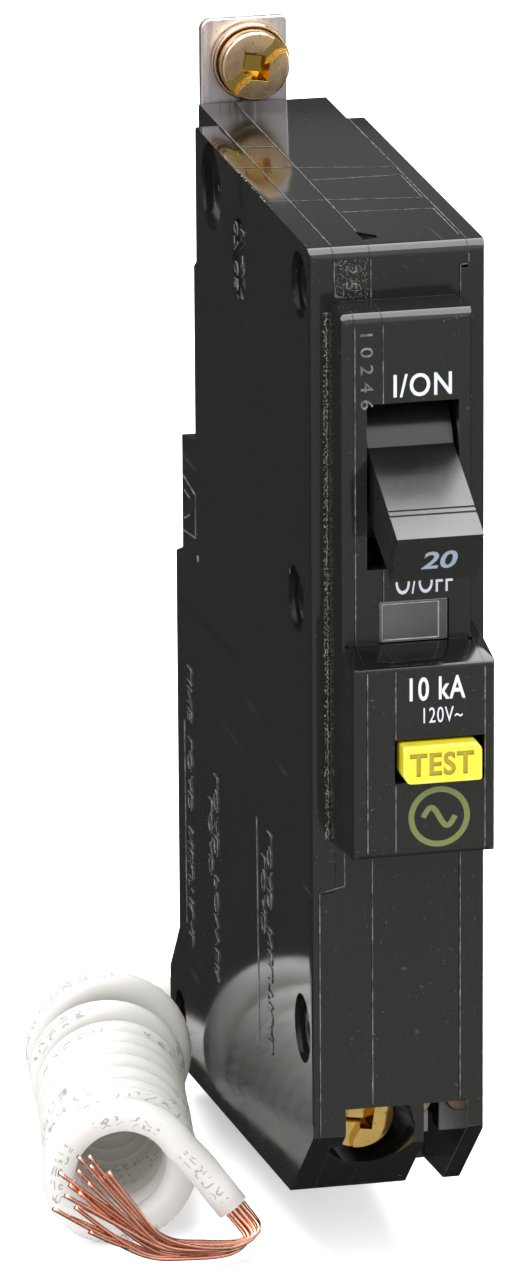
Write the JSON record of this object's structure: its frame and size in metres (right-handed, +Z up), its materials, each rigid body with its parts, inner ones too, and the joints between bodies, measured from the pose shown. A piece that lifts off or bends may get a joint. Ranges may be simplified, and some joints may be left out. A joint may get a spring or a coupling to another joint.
{
  "type": "ground-fault circuit breaker",
  "caption": "Single-pole bolt-on circuit breaker with ground-fault protection: layered black case, toggle handle, test button, line tab and coiled neutral pigtail.",
  "frame": {"origin": "on the rear face of the line tab, on the mid-plane of the case width, below the bolt", "axes": "+X to the right seen from the handle side, +Y from the handle side into the panel, +Z up towards the line end"},
  "size_m": [0.046, 0.1055, 0.1288],
  "materials": {
    "case_black": "moulded thermoset, satin gloss",
    "handle_black": "moulded plastic, glossy",
    "button_yellow": "moulded plastic, glossy",
    "lens_grey": "clear smoked plastic lens",
    "flag_red": "matt",
    "tin": "tin-plated copper, satin",
    "brass": "yellow chromate, bright",
    "steel": "zinc-plated",
    "copper": "bare copper",
    "silver": "contact alloy",
    "fibre": "vulcanised fibre",
    "board": "solder mask",
    "component": "epoxy coat",
    "chip_black": "moulded epoxy",
    "insulation_white": "vinyl, satin",
    "grommet_black": "moulded rubber"
  },
  "bodies": {
    "case": {"left_cover": "case_black", "module_case": "case_black", "mechanism_case": "case_black", "right_cover": "case_black", "case_rivet_1": "brass", "case_rivet_2": "brass", "case_rivet_3": "brass", "case_rivet_4": "brass", "case_rivet_5": "brass", "indicator_lens": "lens_grey", "mounting_clip": "steel", "line_terminal_strap": "tin", "line_screw_washer": "brass", "fixed_contact": "silver", "handle_pivot_pin": "steel", "arm_pivot_post": "steel", "arc_plate_1": "steel", "arc_plate_2": "steel", "arc_plate_3": "steel", "arc_plate_4": "steel", "arc_side_board_1": "fibre", "arc_side_board_2": "fibre", "cradle_post": "steel", "armature_pin": "steel", "bimetal": "copper", "magnet_yoke": "steel", "calibration_screw": "brass", "operating_spring": "steel", "flexible_braid": "copper", "load_strap": "copper", "load_power_lug": "tin", "load_return_lug": "tin", "transformer_core": "component", "primary_conductor": "copper", "circuit_board": "board", "surge_varistor": "component", "capacitor": "component", "control_chip": "chip_black", "solenoid_frame": "steel", "solenoid_coil": "copper", "test_button_spring": "steel", "test_contact_blade": "copper", "pigtail_grommet": "grommet_black", "pigtail_lead": "insulation_white", "pigtail_coil": "insulation_white", "pigtail_tail": "insulation_white", "copper_strands": "copper"},
    "handle": {"handle": "handle_black"},
    "contact_arm": {"contact_arm": "copper", "moving_contact": "silver", "spring_pin": "steel"},
    "trip_cradle": {"trip_cradle": "steel"},
    "armature": {"armature": "steel"},
    "trip_flag": {"trip_flag": "flag_red"},
    "test_button": {"test_button": "button_yellow"},
    "solenoid_plunger": {"solenoid_plunger": "steel"},
    "line_screw": {"line_screw": "brass"},
    "load_power_screw": {"load_power_screw": "brass"},
    "load_return_screw": {"load_return_screw": "brass"}
  },
  "joints": [
    {"name": "handle_swing", "type": "hinge", "parent": "case", "child": "handle", "pos_m": [0, -0.0635, -0.0205], "axis": [-1, 0, 0], "range_deg": [-5, 30]},
    {"name": "contact_swing", "type": "hinge", "parent": "case", "child": "contact_arm", "pos_m": [0, -0.05, -0.03], "axis": [1, 0, 0], "range_deg": [-2.5, 15], "deforming": ["operating_spring", "flexible_braid"]},
    {"name": "cradle_trip", "type": "hinge", "parent": "case", "child": "trip_cradle", "pos_m": [0, -0.044, -0.04], "axis": [-1, 0, 0], "range_deg": [0, 12]},
    {"name": "armature_pull", "type": "hinge", "parent": "case", "child": "armature", "pos_m": [0, -0.0186, -0.0324], "axis": [-1, 0, 0], "range_deg": [0, 6]},
    {"name": "flag_rise", "type": "slide", "parent": "case", "child": "trip_flag", "axis": [0, 0, 1], "range_m": [0, 0.0055]},
    {"name": "test_press", "type": "slide", "parent": "case", "child": "test_button", "axis": [0, 1, 0], "range_m": [0, 0.0012], "stiffness_N_per_m": 800, "deforming": ["test_button_spring"]},
    {"name": "plunger_push", "type": "slide", "parent": "case", "child": "solenoid_plunger", "axis": [0, 0, 1], "range_m": [0, 0.0025]},
    {"name": "line_screw_turn", "type": "hinge", "parent": "case", "child": "line_screw", "pos_m": [-0.0011, 0, 0.0082], "axis": [0, 1, 0], "continuous": true},
    {"name": "load_power_screw_turn", "type": "hinge", "parent": "case", "child": "load_power_screw", "pos_m": [-0.0026, -0.053, -0.096], "axis": [0, 1, 0], "continuous": true},
    {"name": "load_return_screw_turn", "type": "hinge", "parent": "case", "child": "load_return_screw", "pos_m": [0.00535, -0.053, -0.097], "axis": [0, 1, 0], "continuous": true}
  ],
  "couplings": [
    {"joint": "contact_swing", "follows": "handle_swing", "ratio": 0.5}
  ]
}
